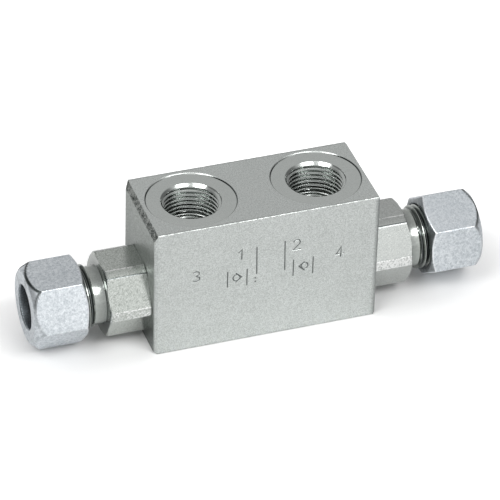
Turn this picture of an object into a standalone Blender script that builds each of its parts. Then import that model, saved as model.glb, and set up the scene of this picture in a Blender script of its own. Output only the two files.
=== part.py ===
# Pilot operated non-return valve, double acting, for mounting in the pipe line.
#
# A steel block stands on its base. One stepped bore runs through it from end to end, low down.
# A loose pilot piston sits in the middle of the bore. On each side of it are a seat ring, a sprung
# check poppet and an end fitting that screws into the block and clamps the ring. Two threaded
# ports open on top, one into the space on each side of the piston. Each end fitting ends in a
# 24 degree cone with a cutting ring and a union nut for a 12 mm tube.
#
# Units are metres. +X runs along the bore, +Z is up, and the origin is the middle of the base.
# Both ends are alike, so each is described by its reach, the distance from the middle plane.

import math

import bmesh
import bpy
from mathutils import Matrix, Vector

# Clearances
GAP = 0.0003  # between pieces that touch or slide

# Block
BLOCK_LENGTH = 0.0645
BLOCK_WIDTH = 0.028
BLOCK_HEIGHT = 0.040
LEFT_BREAK_LENGTH = 0.0009  # how far the left end's chamfers come in along the block
LEFT_BREAK_SIDE = 0.0009  # their drop at the front and back
LEFT_BREAK_TOP = 0.0023  # their drop at the top
RIGHT_BREAK_LENGTH = 0.0003  # even chamfer round the right end
LONG_BREAK = 0.0003  # chamfer of the four long edges
AXIS_HEIGHT = 0.0136  # bore axis above the base

# Ports on top, G3/8
PORT_SPACING = 0.036
PORT_OFFSET = 0.0004  # the pair lies this much to the right of the middle
PORT_BORE = 0.0150
PORT_MOUTH = 0.0170
PORT_MOUTH_DEPTH = 0.0010
PORT_DEPTH = 0.0120
PORT_FACE = 0.025
PORT_FACE_DEPTH = 0.0004
DRILL_POINT_DEG = 118.0
PASSAGE_BORE = 0.0065  # from each port down into the main bore
PASSAGE_OFFSET = 0.0010  # towards the middle from the port's axis

# Pilot piston, loose in the main bore
PILOT_BORE = 0.0146
PISTON_LENGTH = 0.020
PISTON_EDGE = 0.0005
PIN_DIAMETER = 0.0056
PIN_EDGE = 0.0004
PILOT_FREE_TRAVEL = 0.0012  # each way, before a pin would meet a closed poppet
PILOT_RING_SECTION = 0.0015  # O-ring
PILOT_RING_SQUEEZE_SPACE = 0.0021  # depth of the groove, from the bore's wall
BACKUP_THICKNESS = 0.0012

# Seat ring, clamped between its pocket and the fitting's nose
SEAT_POCKET = 0.018
SEAT_LENGTH = 0.0040
SEAT_ORIFICE = 0.0080
SEAT_EDGE = 0.0004  # 45 degree seating edge
SEAT_RING_SECTION = 0.0012
SEAT_RING_SPACE = 0.0018

# Check poppet and spring
POPPET_DIAMETER = 0.0118
POPPET_TIP = 0.0040
POPPET_LENGTH = 0.0095  # the guided cylinder
POPPET_BORE = 0.0100
POPPET_HOLE = 0.0024
POPPET_HOLES = 4
POPPET_STROKE = 0.0035
POPPET_END_SPACE = 0.0015  # left behind the open poppet, up to the spring's shoulder
SPRING_WIRE = 0.0010
SPRING_MEAN_DIAMETER = 0.0082
SPRING_TURNS = 6.5
SPRING_CLOSED_TURNS = 1.0  # at each end
SPRING_CLOSED_SPACE = 0.0001  # left between the closed turns

# End fitting, turned from round bar with six milled flats
STUD_THREAD = 0.0200
STUD_LENGTH = 0.0073
STUD_NOSE_BREAK = 0.0006
STUD_UNDERCUT = 0.0178
STUD_UNDERCUT_LENGTH = 0.0026
FACE_RING_SECTION = 0.0014
FACE_RING_POCKET = 0.0218
FITTING_BAR = 0.0238
FITTING_FLATS = 0.0218
FITTING_HEX_LENGTH = 0.01145
FITTING_END_BREAK = 0.0004  # drop of the bar's chamfer, next to the neck
NOSE_POCKET = 0.0148  # lets the oil round the poppet's cone
NOSE_POCKET_LENGTH = 0.0047
THROUGH_BORE = 0.0070
NECK_DIAMETER = 0.0164
NECK_LENGTH = 0.0026
NECK_FILLET = 0.0005
STUB_THREAD = 0.0180  # M18 x 1.5, for a 12 mm tube, light series
STUB_LENGTH = 0.0123
STUB_BREAK = 0.0007
TUBE_SOCKET = 0.0122
TUBE_SOCKET_DEPTH = 0.0070
CONE_MOUTH = 0.0140
CONE_HALF_ANGLE_DEG = 12.0

# Cutting ring
RING_BORE = 0.0122
RING_LIP_WALL = 0.00025  # at the cutting edge
RING_COLLAR = 0.0168
RING_COLLAR_BREAK = 0.0006
RING_REAR_WALL = 0.0004

# Union nut
NUT_FLATS = 0.0217
NUT_LENGTH = 0.0150
NUT_OVERLAP = 0.0063  # thread of the stub that the left nut covers
RIGHT_NUT_SPACE = 0.0004  # the right nut stands this much further out
NUT_BORE = 0.0124
NUT_COUNTERBORE_LENGTH = 0.0096  # the threaded part, up to the 45 degree shoulder
NUT_ENTRY_BREAK = 0.0006
NUT_FACE = 0.0202  # flat outer end, inside the chamfer
NUT_FACE_BREAK = 0.0026  # how far the outer chamfer comes in along the nut
NUT_ROUND = 0.35  # bulge of the outer chamfer, as a share of its own length
NUT_INNER_FACE = 0.0243  # washer face towards the block
NUT_INNER_BREAK = 0.0003
NUT_MOUTH_BREAK = 0.0004

# How far each hexagon is turned from having a corner at the front, in degrees
FITTING_TURN = {"left": 0.0, "right": 4.7}
NUT_TURN = {"left": 53.4, "right": 36.6}

# Steps round a circle
STEPS_OUTSIDE = 48
STEPS_INSIDE = 24
STEPS_RING_SECTION = 6
STEPS_SPRING_TURN = 12

SIDES = {"left": -1, "right": 1}

# Places along the bore, worked out from the sizes above
END_FACE = BLOCK_LENGTH / 2
NOSE = END_FACE - STUD_LENGTH
SEAT_OUTER = NOSE - GAP
SEAT_INNER = SEAT_OUTER - SEAT_LENGTH
POCKET_FLOOR = SEAT_INNER - GAP
HEX_START = END_FACE + GAP
HEX_END = HEX_START + FITTING_HEX_LENGTH
STUB_END = HEX_END + STUB_LENGTH
NUT_START = {"left": STUB_END - NUT_OVERLAP, "right": STUB_END - NUT_OVERLAP + RIGHT_NUT_SPACE}

# A 45 degree cone on the poppet lies GAP off the seating edge, measured square to the cone.
CONE_SHIFT = GAP * math.sqrt(2)
CONE_BASE = SEAT_OUTER + CONE_SHIFT + (POPPET_DIAMETER - SEAT_ORIFICE) / 2 - SEAT_EDGE
POPPET_TIP_REACH = CONE_BASE - (POPPET_DIAMETER - POPPET_TIP) / 2
POPPET_END = CONE_BASE + POPPET_LENGTH
POPPET_FLOOR = CONE_BASE + GAP / 2
PIN_END = POPPET_TIP_REACH - PILOT_FREE_TRAVEL - GAP
SPRING_SHOULDER = POPPET_END + POPPET_STROKE + POPPET_END_SPACE


def clear_scene():
    for item in list(bpy.data.objects):
        bpy.data.objects.remove(item, do_unlink=True)


def metal(name, color, roughness, metallic=1.0):
    material = bpy.data.materials.new(name)
    material.use_nodes = True
    shader = material.node_tree.nodes["Principled BSDF"]
    shader.inputs["Base Color"].default_value = (*color, 1.0)
    shader.inputs["Roughness"].default_value = roughness
    shader.inputs["Metallic"].default_value = metallic
    return material


def new_object(name, bm, material, smooth_under_deg=30.0):
    mesh = bpy.data.meshes.new(name)
    bmesh.ops.recalc_face_normals(bm, faces=bm.faces)
    bm.to_mesh(mesh)
    bm.free()
    if material is not None:
        mesh.materials.append(material)
    mesh.shade_smooth()
    mesh.set_sharp_from_angle(angle=math.radians(smooth_under_deg))
    thing = bpy.data.objects.new(name, mesh)
    bpy.context.scene.collection.objects.link(thing)
    return thing


def turned(name, outline, material, steps=STEPS_INSIDE, axis="X"):
    """A solid of revolution. The outline is a closed list of (reach, radius) points."""
    bm = bmesh.new()
    on_axis = 1e-7
    points = [bm.verts.new((reach, 0.0, radius)) for reach, radius in outline]
    edges = []
    for i, point in enumerate(points):
        following = points[(i + 1) % len(points)]
        if point.co.z > on_axis or following.co.z > on_axis:
            edges.append(bm.edges.new((point, following)))
    bmesh.ops.spin(
        bm,
        geom=points + edges,
        axis=(1, 0, 0),
        cent=(0, 0, 0),
        steps=steps,
        angle=math.tau,
        use_merge=True,
    )
    bmesh.ops.remove_doubles(bm, verts=bm.verts, dist=on_axis)
    if axis == "Z":
        bmesh.ops.rotate(bm, verts=bm.verts, matrix=Matrix.Rotation(-math.pi / 2, 3, "Y"))
    return new_object(name, bm, material)


def hex_prism(bm, across_flats, start, end):
    """Six-sided bar along X with one corner towards -Y."""
    corner = across_flats / math.sqrt(3)
    rings = []
    for reach in (start, end):
        ring = []
        for k in range(6):
            angle = math.tau * k / 6
            ring.append(bm.verts.new((reach, -corner * math.cos(angle), corner * math.sin(angle))))
        rings.append(ring)
    return rings


def bridge(bm, first, second):
    count = len(first)
    for k in range(count):
        bm.faces.new((first[k], first[(k + 1) % count], second[(k + 1) % count], second[k]))


def as_cutter(thing):
    thing.hide_render = True
    thing.display_type = "WIRE"
    return thing


def add_boolean(thing, cutter, operation="DIFFERENCE"):
    modifier = thing.modifiers.new(cutter.name, "BOOLEAN")
    modifier.operation = operation
    modifier.solver = "EXACT"
    modifier.object = cutter


def place(thing, side, parent, turn_deg=0.0):
    """Stands a piece modelled towards +X on its own side of the block."""
    sign = SIDES[side]
    thing.rotation_euler = (-sign * math.radians(turn_deg), 0.0, 0.0 if sign > 0 else math.pi)
    thing.parent = parent
    return thing


def empty(name, location):
    thing = bpy.data.objects.new(name, None)
    thing.location = location
    bpy.context.scene.collection.objects.link(thing)
    return thing


def circle_outline(reach, radius, section, steps=STEPS_RING_SECTION):
    """Section of an O-ring whose middle lies at a reach and a radius."""
    half = section / 2
    angles = [math.tau * (k + 0.5) / steps for k in range(steps)]
    return [(reach + half * math.cos(a), radius + half * math.sin(a)) for a in angles]


def make_block(material):
    """The block, with chamfered ends, the stepped main bore and the two ports."""
    half = BLOCK_WIDTH / 2
    right_break = RIGHT_BREAK_LENGTH
    stations = [
        (-END_FACE, half - LEFT_BREAK_SIDE, LONG_BREAK, BLOCK_HEIGHT - LEFT_BREAK_TOP),
        (LEFT_BREAK_LENGTH - END_FACE, half, 0.0, BLOCK_HEIGHT),
        (END_FACE - right_break, half, 0.0, BLOCK_HEIGHT),
        (END_FACE, half - right_break, right_break, BLOCK_HEIGHT - right_break),
    ]
    bm = bmesh.new()
    rings = []
    for x, y, low, high in stations:
        b = LONG_BREAK
        corners = [
            (-y + b, low), (y - b, low), (y, low + b), (y, high - b),
            (y - b, high), (-y + b, high), (-y, high - b), (-y, low + b),
        ]
        rings.append([bm.verts.new((x, cy, cz)) for cy, cz in corners])
    for first, second in zip(rings, rings[1:]):
        bridge(bm, first, second)
    bm.faces.new(rings[0])
    bm.faces.new(rings[-1])
    block = new_object("valve_body", bm, material)

    for cutter in [make_bore_cutter()] + make_port_cutters():
        add_boolean(block, cutter)
    return block


def make_bore_cutter():
    """Main bore: pilot bore in the middle, then at each end seat pocket, thread and ring pocket."""
    ring_pocket_floor = HEX_START - 2 * GAP - FACE_RING_SECTION - GAP
    past = END_FACE + PIN_EDGE
    half = [
        (POCKET_FLOOR, PILOT_BORE / 2),
        (POCKET_FLOOR, SEAT_POCKET / 2),
        (NOSE - GAP, SEAT_POCKET / 2),
        (NOSE - GAP, STUD_THREAD / 2),
        (ring_pocket_floor, STUD_THREAD / 2),
        (ring_pocket_floor, FACE_RING_POCKET / 2),
        (past, FACE_RING_POCKET / 2),
    ]
    outline = [(past, 0.0), (-past, 0.0)]
    outline += [(-reach, radius) for reach, radius in reversed(half)]
    outline += half
    cutter = turned("bore_cutter", outline, None, STEPS_INSIDE)
    cutter.location.z = AXIS_HEIGHT
    return as_cutter(cutter)


def make_port_cutters():
    """One port and one passage on each side."""
    top = BLOCK_HEIGHT
    face = top - PORT_FACE_DEPTH
    floor = top - PORT_DEPTH
    point = floor - PORT_BORE / 2 / math.tan(math.radians(DRILL_POINT_DEG / 2))
    outline = [
        (top + PORT_DEPTH, 0.0),
        (point, 0.0),
        (floor, PORT_BORE / 2),
        (face - PORT_MOUTH_DEPTH, PORT_BORE / 2),
        (face, PORT_MOUTH / 2),
        (face, PORT_FACE / 2),
        (top + PORT_DEPTH, PORT_FACE / 2),
    ]
    cutters = []
    for side, sign in SIDES.items():
        port = turned("port_cutter_" + side, outline, None, STEPS_OUTSIDE, axis="Z")
        port.location.x = PORT_OFFSET + sign * PORT_SPACING / 2
        cutters.append(as_cutter(port))
        passage_outline = [
            (AXIS_HEIGHT, 0.0),
            (AXIS_HEIGHT, PASSAGE_BORE / 2),
            (floor + PASSAGE_BORE / 2, PASSAGE_BORE / 2),
            (floor + PASSAGE_BORE / 2, 0.0),
        ]
        passage = turned("passage_cutter_" + side, passage_outline, None, STEPS_INSIDE, axis="Z")
        passage.location.x = PORT_OFFSET + sign * (PORT_SPACING / 2 - PASSAGE_OFFSET)
        cutters.append(as_cutter(passage))
    return cutters


def make_piston(steel, rubber, plastic, parent):
    """Pilot piston with a pin at each end, and the seal in its middle groove."""
    body = PILOT_BORE / 2 - GAP
    floor = PILOT_BORE / 2 - PILOT_RING_SQUEEZE_SPACE
    half_length = PISTON_LENGTH / 2
    half_groove = PILOT_RING_SECTION / 2 + BACKUP_THICKNESS + 2 * GAP
    pin = PIN_DIAMETER / 2
    half = [
        (half_groove, floor),
        (half_groove, body),
        (half_length - PISTON_EDGE, body),
        (half_length, body - PISTON_EDGE),
        (half_length, pin),
        (PIN_END - PIN_EDGE, pin),
        (PIN_END, pin - PIN_EDGE),
        (PIN_END, 0.0),
    ]
    outline = [(-reach, radius) for reach, radius in reversed(half)] + half
    turned("pilot_piston", outline, steel).parent = parent

    seal_middle = (floor + PILOT_BORE / 2) / 2
    seal = circle_outline(0.0, seal_middle, PILOT_RING_SECTION)
    turned("pilot_piston_o_ring", seal, rubber).parent = parent
    inner = PILOT_RING_SECTION / 2 + GAP
    outer = inner + BACKUP_THICKNESS
    for side, sign in SIDES.items():
        backup = [
            (sign * inner, floor + GAP),
            (sign * outer, floor + GAP),
            (sign * outer, body),
            (sign * inner, body),
        ]
        turned("pilot_backup_ring_" + side, backup, plastic).parent = parent


def make_seat(side, steel, rubber, parent):
    """Seat ring with its seating edge outwards, and the O-ring round it."""
    outside = SEAT_POCKET / 2 - GAP
    floor = SEAT_POCKET / 2 - SEAT_RING_SPACE
    middle = (SEAT_INNER + SEAT_OUTER) / 2
    half_groove = SEAT_RING_SECTION / 2 + GAP
    orifice = SEAT_ORIFICE / 2
    outline = [
        (SEAT_INNER, orifice),
        (SEAT_INNER, outside),
        (middle - half_groove, outside),
        (middle - half_groove, floor),
        (middle + half_groove, floor),
        (middle + half_groove, outside),
        (SEAT_OUTER, outside),
        (SEAT_OUTER, orifice + SEAT_EDGE),
        (SEAT_OUTER - SEAT_EDGE, orifice),
    ]
    place(turned("seat_ring_" + side, outline, steel), side, parent)
    ring = circle_outline(middle, (floor + SEAT_POCKET / 2) / 2, SEAT_RING_SECTION)
    place(turned("seat_o_ring_" + side, ring, rubber), side, parent)


def make_poppet(side, steel, parent):
    """Hollow poppet: a 45 degree cone, a guided skirt and radial holes that let the oil in."""
    outline = [
        (POPPET_TIP_REACH, 0.0),
        (POPPET_TIP_REACH, POPPET_TIP / 2),
        (CONE_BASE, POPPET_DIAMETER / 2),
        (POPPET_END, POPPET_DIAMETER / 2),
        (POPPET_END, POPPET_BORE / 2),
        (POPPET_FLOOR, POPPET_BORE / 2),
        (POPPET_FLOOR, 0.0),
    ]
    poppet = turned("check_poppet_" + side, outline, steel)
    hole_reach = POPPET_FLOOR + GAP + POPPET_HOLE / 2
    for k in range(POPPET_HOLES):
        drill = turned(
            "poppet_drill_%s_%d" % (side, k),
            [
                (POPPET_BORE / 4, 0.0),
                (POPPET_BORE / 4, POPPET_HOLE / 2),
                (POPPET_DIAMETER, POPPET_HOLE / 2),
                (POPPET_DIAMETER, 0.0),
            ],
            None,
            STEPS_SPRING_TURN,
            axis="Z",
        )
        drill.location.x = hole_reach
        drill.rotation_euler.x = math.tau * (k + 0.5) / POPPET_HOLES
        drill.parent = poppet
        add_boolean(poppet, as_cutter(drill))
    place(poppet, side, parent)


def make_spring(side, steel, parent):
    """Check spring with closed end turns, from the poppet's floor to the fitting's shoulder."""
    start = POPPET_FLOOR + GAP + SPRING_WIRE / 2
    end = SPRING_SHOULDER - GAP - SPRING_WIRE / 2
    closed_pitch = SPRING_WIRE + SPRING_CLOSED_SPACE
    closed = SPRING_CLOSED_TURNS
    open_turns = SPRING_TURNS - 2 * closed
    open_pitch = (end - start - 2 * closed * closed_pitch) / open_turns

    def reach_at(turn):
        reach = start + min(turn, closed) * closed_pitch
        reach += min(max(turn - closed, 0.0), open_turns) * open_pitch
        return reach + max(turn - closed - open_turns, 0.0) * closed_pitch

    bm = bmesh.new()
    count = round(SPRING_TURNS * STEPS_SPRING_TURN)
    mean = SPRING_MEAN_DIAMETER / 2
    rings = []
    for i in range(count + 1):
        turn = SPRING_TURNS * i / count
        angle = math.tau * turn
        out = Vector((0.0, math.cos(angle), math.sin(angle)))
        centre = out * mean + Vector((reach_at(turn), 0.0, 0.0))
        ring = []
        for k in range(STEPS_RING_SECTION):
            a = math.tau * k / STEPS_RING_SECTION
            offset = out * math.cos(a) + Vector((1.0, 0.0, 0.0)) * math.sin(a)
            ring.append(bm.verts.new(centre + offset * (SPRING_WIRE / 2)))
        rings.append(ring)
    for first, second in zip(rings, rings[1:]):
        bridge(bm, first, second)
    bm.faces.new(rings[0])
    bm.faces.new(rings[-1])
    spring = new_object("check_spring_" + side, bm, steel, 60.0)
    place(spring, side, parent)


def make_fitting(side, steel, rubber, parent):
    """End fitting: stud, six flats milled on round bar, neck, thread stub and 24 degree cone."""
    stud = STUD_THREAD / 2 - GAP
    undercut = STUD_UNDERCUT / 2
    undercut_start = HEX_START - STUD_UNDERCUT_LENGTH
    bar = FITTING_BAR / 2
    neck = NECK_DIAMETER / 2
    thread = STUB_THREAD / 2
    thread_start = HEX_END + NECK_LENGTH
    cone_length = (CONE_MOUTH - TUBE_SOCKET) / 2 / math.tan(math.radians(CONE_HALF_ANGLE_DEG))
    socket_floor = STUB_END - TUBE_SOCKET_DEPTH
    outline = [
        (NOSE, NOSE_POCKET / 2),
        (NOSE, stud - STUD_NOSE_BREAK),
        (NOSE + STUD_NOSE_BREAK, stud),
        (undercut_start - (stud - undercut), stud),
        (undercut_start, undercut),
        (HEX_START, undercut),
        (HEX_START, bar),
        (HEX_END - FITTING_END_BREAK, bar),
        (HEX_END, bar - 2 * FITTING_END_BREAK),
        (HEX_END, neck + NECK_FILLET),
        (HEX_END + NECK_FILLET, neck),
        (thread_start - (thread - neck), neck),
        (thread_start, thread),
        (STUB_END - STUB_BREAK, thread),
        (STUB_END, thread - STUB_BREAK),
        (STUB_END, CONE_MOUTH / 2),
        (STUB_END - cone_length, TUBE_SOCKET / 2),
        (socket_floor, TUBE_SOCKET / 2),
        (socket_floor, THROUGH_BORE / 2),
        (SPRING_SHOULDER, THROUGH_BORE / 2),
        (SPRING_SHOULDER, POPPET_DIAMETER / 2 + GAP),
        (NOSE + NOSE_POCKET_LENGTH, POPPET_DIAMETER / 2 + GAP),
        (NOSE + NOSE_POCKET_LENGTH, NOSE_POCKET / 2),
    ]
    fitting = turned("end_fitting_" + side, outline, steel, STEPS_OUTSIDE)

    bm = bmesh.new()
    ends = (HEX_START - STUD_UNDERCUT_LENGTH, HEX_END + NECK_LENGTH)
    inner = hex_prism(bm, FITTING_FLATS, *ends)
    outer = hex_prism(bm, FITTING_BAR * 2, *ends)
    bridge(bm, *inner)
    bridge(bm, *outer)
    for a, b in zip(inner, outer):
        bridge(bm, a, b)
    mill = as_cutter(new_object("flats_cutter_" + side, bm, None))
    mill.parent = fitting
    add_boolean(fitting, mill)
    place(fitting, side, parent, FITTING_TURN[side])

    ring_radius = (undercut + FACE_RING_POCKET / 2) / 2
    ring_reach = HEX_START - GAP - FACE_RING_SECTION / 2
    ring = circle_outline(ring_reach, ring_radius, FACE_RING_SECTION)
    place(turned("fitting_o_ring_" + side, ring, rubber), side, parent)


def make_cutting_ring(side, steel, parent):
    """Cutting ring: a thin lip in the fitting's cone, a collar, and a 45 degree rear face."""
    slope = math.tan(math.radians(CONE_HALF_ANGLE_DEG))
    cone_gap = GAP / math.cos(math.radians(CONE_HALF_ANGLE_DEG))
    bore = RING_BORE / 2
    mouth_radius = CONE_MOUTH / 2 - cone_gap
    lip_reach = STUB_END - (mouth_radius - bore - RING_LIP_WALL) / slope
    collar = RING_COLLAR / 2
    collar_start = STUB_END + GAP
    # The nut's shoulder falls at 45 degrees from its threaded bore. Both rings fit the left nut.
    shoulder = NUT_START["left"] + NUT_COUNTERBORE_LENGTH + STUB_THREAD / 2 + GAP - CONE_SHIFT
    outline = [
        (lip_reach, bore),
        (lip_reach, bore + RING_LIP_WALL),
        (collar_start, mouth_radius + GAP * slope),
        (collar_start, collar - RING_COLLAR_BREAK),
        (collar_start + RING_COLLAR_BREAK, collar),
        (shoulder - collar, collar),
        (shoulder - bore - RING_REAR_WALL, bore + RING_REAR_WALL),
        (shoulder - bore - RING_REAR_WALL, bore),
    ]
    place(turned("cutting_ring_" + side, outline, steel), side, parent)


def make_nut(side, steel, parent):
    """Union nut: a hexagon cut from a turned blank, so its chamfers leave arcs on the flats."""
    start = NUT_START[side]
    end = start + NUT_LENGTH
    thread = STUB_THREAD / 2 + GAP
    bore = NUT_BORE / 2
    counterbore_end = start + NUT_COUNTERBORE_LENGTH
    corner = NUT_FLATS / math.sqrt(3) + GAP
    face = NUT_FACE / 2
    # The outer chamfer bulges: its middle point stands out from the straight line.
    bulge = NUT_ROUND * NUT_FACE_BREAK / 2
    middle = (end - NUT_FACE_BREAK / 2 + bulge / 2, (face + corner) / 2 + bulge / 2)
    outline = [
        (start, thread + NUT_ENTRY_BREAK),
        (start, NUT_INNER_FACE / 2),
        (start + NUT_INNER_BREAK, corner),
        (end - NUT_FACE_BREAK, corner),
        middle,
        (end, face),
        (end, bore + NUT_MOUTH_BREAK),
        (end - NUT_MOUTH_BREAK, bore),
        (counterbore_end + thread - bore, bore),
        (counterbore_end, thread),
        (start + NUT_ENTRY_BREAK, thread),
    ]
    nut = turned("union_nut_" + side, outline, steel, STEPS_OUTSIDE)

    bm = bmesh.new()
    rings = hex_prism(bm, NUT_FLATS, start - NUT_LENGTH, end + NUT_LENGTH)
    bridge(bm, *rings)
    bm.faces.new(rings[0])
    bm.faces.new(rings[1])
    bar = as_cutter(new_object("hexagon_bar_" + side, bm, None))
    bar.parent = nut
    add_boolean(nut, bar, "INTERSECT")
    place(nut, side, parent, NUT_TURN[side])


def main():
    clear_scene()
    block_steel = metal("block_zinc", (0.62, 0.63, 0.62), 0.38)
    fitting_steel = metal("fitting_zinc", (0.56, 0.58, 0.56), 0.30)
    nut_steel = metal("nut_zinc", (0.62, 0.65, 0.68), 0.42)
    ground_steel = metal("ground_steel", (0.55, 0.55, 0.56), 0.22)
    ring_steel = metal("ring_steel", (0.30, 0.31, 0.32), 0.40)
    spring_steel = metal("spring_steel", (0.42, 0.42, 0.43), 0.30)
    rubber = metal("black_rubber", (0.02, 0.02, 0.02), 0.60, metallic=0.0)
    plastic = metal("white_plastic", (0.85, 0.85, 0.82), 0.45, metallic=0.0)

    make_block(block_steel)
    axis = empty("bore_axis", (0.0, 0.0, AXIS_HEIGHT))
    make_piston(ground_steel, rubber, plastic, axis)
    for side in SIDES:
        make_seat(side, ground_steel, rubber, axis)
        make_poppet(side, ground_steel, axis)
        make_spring(side, spring_steel, axis)
        make_fitting(side, fitting_steel, rubber, axis)
        make_cutting_ring(side, ring_steel, axis)
        make_nut(side, nut_steel, axis)


main()
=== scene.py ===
import math

import bmesh
import bpy
import numpy as np
from mathutils import Matrix, Vector, noise


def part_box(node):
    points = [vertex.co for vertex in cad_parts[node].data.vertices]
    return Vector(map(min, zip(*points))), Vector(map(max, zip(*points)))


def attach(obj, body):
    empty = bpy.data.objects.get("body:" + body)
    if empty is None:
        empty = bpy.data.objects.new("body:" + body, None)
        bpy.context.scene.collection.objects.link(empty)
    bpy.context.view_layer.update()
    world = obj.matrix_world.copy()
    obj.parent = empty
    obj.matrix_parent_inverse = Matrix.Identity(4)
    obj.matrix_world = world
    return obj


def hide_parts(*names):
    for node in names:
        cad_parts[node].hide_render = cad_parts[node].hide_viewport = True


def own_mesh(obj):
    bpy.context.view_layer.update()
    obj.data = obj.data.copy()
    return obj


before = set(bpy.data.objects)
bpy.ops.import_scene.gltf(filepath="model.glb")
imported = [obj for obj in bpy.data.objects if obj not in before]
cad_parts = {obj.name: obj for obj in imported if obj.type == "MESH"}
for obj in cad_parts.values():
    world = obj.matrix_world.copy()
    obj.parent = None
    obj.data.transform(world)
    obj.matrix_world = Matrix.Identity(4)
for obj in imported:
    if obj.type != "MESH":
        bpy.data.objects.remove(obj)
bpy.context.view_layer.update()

# Pilot operated non-return valve: a zinc plated steel block with two ports on top, and at each
# end a fitting and a union nut. Lengths are in millimetres, and only the studio's are in metres.
# +X is along the main bore and +Z is up. An angle round the bore starts at the front and goes up.

mm = 0.001
sides = {"left": -1, "right": 1}
boreHeight = (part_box("end_fitting_left")[0].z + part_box("end_fitting_left")[1].z) / 2 / mm


# Mesh tools

def makeObject(name, bm, materials, smoothUnder=32):
    mesh = bpy.data.meshes.new(name)
    bmesh.ops.recalc_face_normals(bm, faces=bm.faces)
    bm.to_mesh(mesh)
    bm.free()
    for material in materials:
        mesh.materials.append(material)
    mesh.shade_smooth()
    mesh.set_sharp_from_angle(angle=math.radians(smoothUnder))
    thing = bpy.data.objects.new(name, mesh)
    link(thing)
    return thing


def link(thing):
    bpy.context.scene.collection.objects.link(thing)


# Joins rows of points, each a (count, 3) array in millimetres, into one skin. A closed one also
# joins its last row to its first.
def gridMesh(rows, closed=True, welded=0.002):
    count = len(rows[0])
    bm = bmesh.new()
    verts = [bm.verts.new(p) for p in np.concatenate(rows) * mm]
    for i in range(len(rows) if closed else len(rows) - 1):
        following = (i + 1) % len(rows)
        for j in range(count - 1):
            a, b = i * count + j, following * count + j
            bm.faces.new((verts[a], verts[a + 1], verts[b + 1], verts[b]))
    bmesh.ops.remove_doubles(bm, verts=bm.verts, dist=welded * mm)
    bmesh.ops.dissolve_degenerate(bm, edges=bm.edges, dist=1e-7)
    return bm


# Points at a reach along the bore and a radius from its axis, on one side of the block.
def placed(reach, radius, angles, side):
    x = np.broadcast_to(reach, angles.shape) * sides[side]
    return np.stack([x, -radius * np.cos(angles), boreHeight + radius * np.sin(angles)], axis=1)


# The other way: the reach, radius and angle of each point.
def polar(p, side):
    y, z = p[:, 1], p[:, 2] - boreHeight
    return p[:, 0] * sides[side], np.hypot(y, z), np.arctan2(z, -y)


def within(values, low, high):
    return (values > low) * (values < high)


# Angles for a hexagon with a corner at turnDegrees, with extra steps near its edges.
def hexAngles(turnDegrees, offsets):
    offsets = sorted(set(offsets) | {-v for v in offsets})
    steps = [turnDegrees + 30 + 60 * k + v for k in range(6) for v in offsets]
    steps.append(steps[0] + 360)
    return np.radians(steps)


# Angle to the middle of the nearest flat.
def toFlat(angles, turnDegrees):
    return (angles - math.radians(turnDegrees)) % math.radians(60) - math.radians(30)


def softMin(a, b, blend):
    h = np.clip(0.5 + 0.5 * (b - a) / blend, 0, 1)
    return b * (1 - h) + a * h - blend * h * (1 - h)


# Rounds one corner of an outline.
def arcPoints(corner, before, after, radius, steps=4):
    corner, before, after = (np.array(p, float) for p in (corner, before, after))
    u, v = before - corner, after - corner
    reach = min(radius, 0.45 * np.linalg.norm(u), 0.45 * np.linalg.norm(v))
    u, v = u / np.linalg.norm(u), v / np.linalg.norm(v)
    start, end = corner + u * reach, corner + v * reach
    out = []
    for k in range(steps + 1):
        t = k / steps
        out.append(tuple((1 - t) ** 2 * start + 2 * t * (1 - t) * corner + t * t * end))
    return out


# The outline with each corner rounded; a point may hold its own radius as a third number.
def rounded(outline, radius, steps=3, closed=True):
    out = []
    count = len(outline)
    for i, point in enumerate(outline):
        own = point[2] if len(point) > 2 else radius
        if own == 0 or (not closed and i in (0, count - 1)):
            out.append(tuple(point[:2]))
            continue
        before, after = outline[i - 1][:2], outline[(i + 1) % count][:2]
        out += arcPoints(point[:2], before, after, own, steps)
    return out


# A closed piece from (reach, radius) rows, on one side of the block.
def makeTurned(name, rows, angles, side, finishes, smoothUnder=32):
    skins = [placed(x, r, angles, side) for x, r in rows]
    return makeObject(name + side, gridMesh(skins), [materials[finish] for finish in finishes], smoothUnder)


# Plain turned rows through an open outline of (reach, radius) points.
def turnedRows(points, angles, radius=0.12, steps=2):
    outline = rounded(points, radius, steps, closed=False)
    return [(np.full(angles.shape, x), np.full(angles.shape, r)) for x, r in outline]


# Rows of a helical thread between two reaches, as (reach, radius) arrays over the angles. Rows
# past either end lie in the end's plane, at the thread's own section there, and are welded.
def threadRows(thread, start, end, lead, angles, envelope):
    pitch, crest, root = thread["pitch"], thread["crest"], thread["root"]
    offsets, heights = zip(*thread["profile"])
    advance = lead * (angles - angles[0]) / math.tau
    rows = []
    for turn in range(-1, math.ceil((end - start) / pitch) + 2):
        for offset in offsets:
            reach = np.clip(start + pitch * (turn + offset) + advance, start, end)
            phase = (reach - start - advance) / pitch % 1
            height = np.interp(phase, (*offsets, 1), (*heights, heights[0]))
            rows.append((reach, envelope(reach, root + (crest - root) * height)))
    return rows


# Stores a number from 0 to 1 at each point of the mesh, for the materials.
def attribute(thing, name, function):
    mesh = thing.data
    places = np.empty(len(mesh.vertices) * 3, np.float32)
    mesh.vertices.foreach_get("co", places)
    values = function(places.reshape(-1, 3) / mm)
    layer = mesh.attributes.new(name, "FLOAT", "POINT")
    layer.data.foreach_set("value", np.clip(values, 0, 1).astype(np.float32))


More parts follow.
